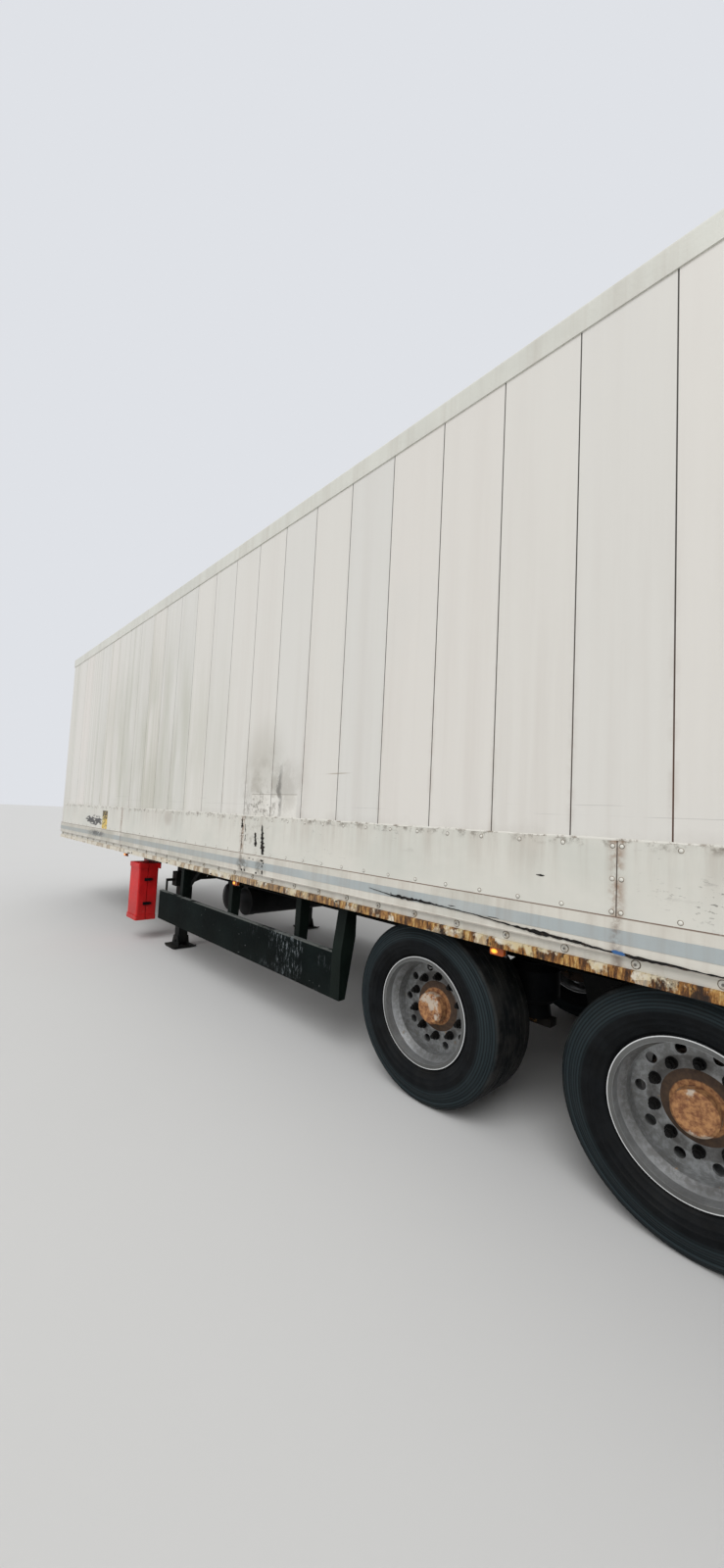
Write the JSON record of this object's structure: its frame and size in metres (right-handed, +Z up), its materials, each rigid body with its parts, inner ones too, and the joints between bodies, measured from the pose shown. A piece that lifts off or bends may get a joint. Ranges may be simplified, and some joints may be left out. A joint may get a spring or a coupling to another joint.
{
  "type": "box semi-trailer",
  "caption": "Tri-axle box semi-trailer with upright wall panels, riveted kick plates, twin rear doors, landing legs, side guards and a kingpin coupling.",
  "frame": {"origin": "on the ground, midway along the overall length and midway across", "axes": "+X forward along the trailer, +Y to its left, +Z up"},
  "size_m": [13.745, 2.55, 4.05],
  "materials": {
    "floor_board": "worn plywood",
    "chassis_black": "satin, dusty",
    "rail_cream": "satin, dirty",
    "edge_steel": "rusted paint",
    "wall_cream": "satin, streaked",
    "kick_plate": "satin, scuffed",
    "top_rail": "satin",
    "roof_skin": "satin, dirty",
    "frame_cream": "satin, dirty",
    "door_cream": "satin, streaked",
    "galvanised": "dull zinc",
    "skid_steel": "greasy",
    "guard_black": "scratched",
    "cabinet_red": "gloss",
    "spring_rubber": "dull",
    "lamp_red": "lens",
    "buffer_rubber": "dull",
    "lamp_amber": "lens",
    "flap_rubber": "dull",
    "tyre": "worn rubber",
    "rim_silver": "silver paint, dusty"
  },
  "bodies": {
    "trailer": {"floor_deck": "floor_board", "main_beams": "chassis_black", "cross_members": "chassis_black", "side_rails": "rail_cream", "rail_edges": "edge_steel", "side_wall_left": "wall_cream", "side_wall_right": "wall_cream", "kick_plates": "kick_plate", "front_wall": "wall_cream", "top_rails": "top_rail", "roof": "roof_skin", "rear_frame": "frame_cream", "coupler": "skid_steel", "suspension_hangers": "chassis_black", "landing_gear": "chassis_black", "side_guards": "guard_black", "guard_brackets": "guard_black", "fire_cabinet": "cabinet_red", "axles": "chassis_black", "trailing_arms": "chassis_black", "air_springs": "spring_rubber", "air_tanks": "chassis_black", "rear_bumper": "chassis_black", "front_couplings": "chassis_black", "rear_lamps": "lamp_red", "rear_buffers": "buffer_rubber", "side_markers": "lamp_amber", "mud_flaps": "flap_rubber"},
    "door_left": {"rear_door_left": "door_cream", "locking_bars_left": "galvanised"},
    "door_right": {"rear_door_right": "door_cream", "locking_bars_right": "galvanised"},
    "cabinet_cover": {"fire_cabinet_cover": "cabinet_red"},
    "wheel_1_left": {"tyre_1_left": "tyre", "wheel_1_left": "rim_silver"},
    "wheel_1_right": {"tyre_1_right": "tyre", "wheel_1_right": "rim_silver"},
    "wheel_2_left": {"tyre_2_left": "tyre", "wheel_2_left": "rim_silver"},
    "wheel_2_right": {"tyre_2_right": "tyre", "wheel_2_right": "rim_silver"},
    "wheel_3_left": {"tyre_3_left": "tyre", "wheel_3_left": "rim_silver"},
    "wheel_3_right": {"tyre_3_right": "tyre", "wheel_3_right": "rim_silver"}
  },
  "joints": [
    {"name": "door_left_swing", "type": "hinge", "parent": "trailer", "child": "door_left", "pos_m": [-6.8125, 1.262, 2.55], "axis": [0, 0, -1], "range_deg": [0, 260]},
    {"name": "door_right_swing", "type": "hinge", "parent": "trailer", "child": "door_right", "pos_m": [-6.8125, -1.262, 2.55], "axis": [0, 0, 1], "range_deg": [0, 260]},
    {"name": "cabinet_cover_swing", "type": "hinge", "parent": "trailer", "child": "cabinet_cover", "pos_m": [3.4215, 1.153, 0.57], "axis": [0, 0, -1], "range_deg": [0, 110]},
    {"name": "wheel_1_left_spin", "type": "hinge", "parent": "trailer", "child": "wheel_1_left", "pos_m": [-1.1175, 1.02, 0.498], "axis": [0, 1, 0], "continuous": true},
    {"name": "wheel_1_right_spin", "type": "hinge", "parent": "trailer", "child": "wheel_1_right", "pos_m": [-1.1175, -1.02, 0.498], "axis": [0, 1, 0], "continuous": true},
    {"name": "wheel_2_left_spin", "type": "hinge", "parent": "trailer", "child": "wheel_2_left", "pos_m": [-2.4275, 1.02, 0.498], "axis": [0, 1, 0], "continuous": true},
    {"name": "wheel_2_right_spin", "type": "hinge", "parent": "trailer", "child": "wheel_2_right", "pos_m": [-2.4275, -1.02, 0.498], "axis": [0, 1, 0], "continuous": true},
    {"name": "wheel_3_left_spin", "type": "hinge", "parent": "trailer", "child": "wheel_3_left", "pos_m": [-3.7375, 1.02, 0.498], "axis": [0, 1, 0], "continuous": true},
    {"name": "wheel_3_right_spin", "type": "hinge", "parent": "trailer", "child": "wheel_3_right", "pos_m": [-3.7375, -1.02, 0.498], "axis": [0, 1, 0], "continuous": true}
  ]
}
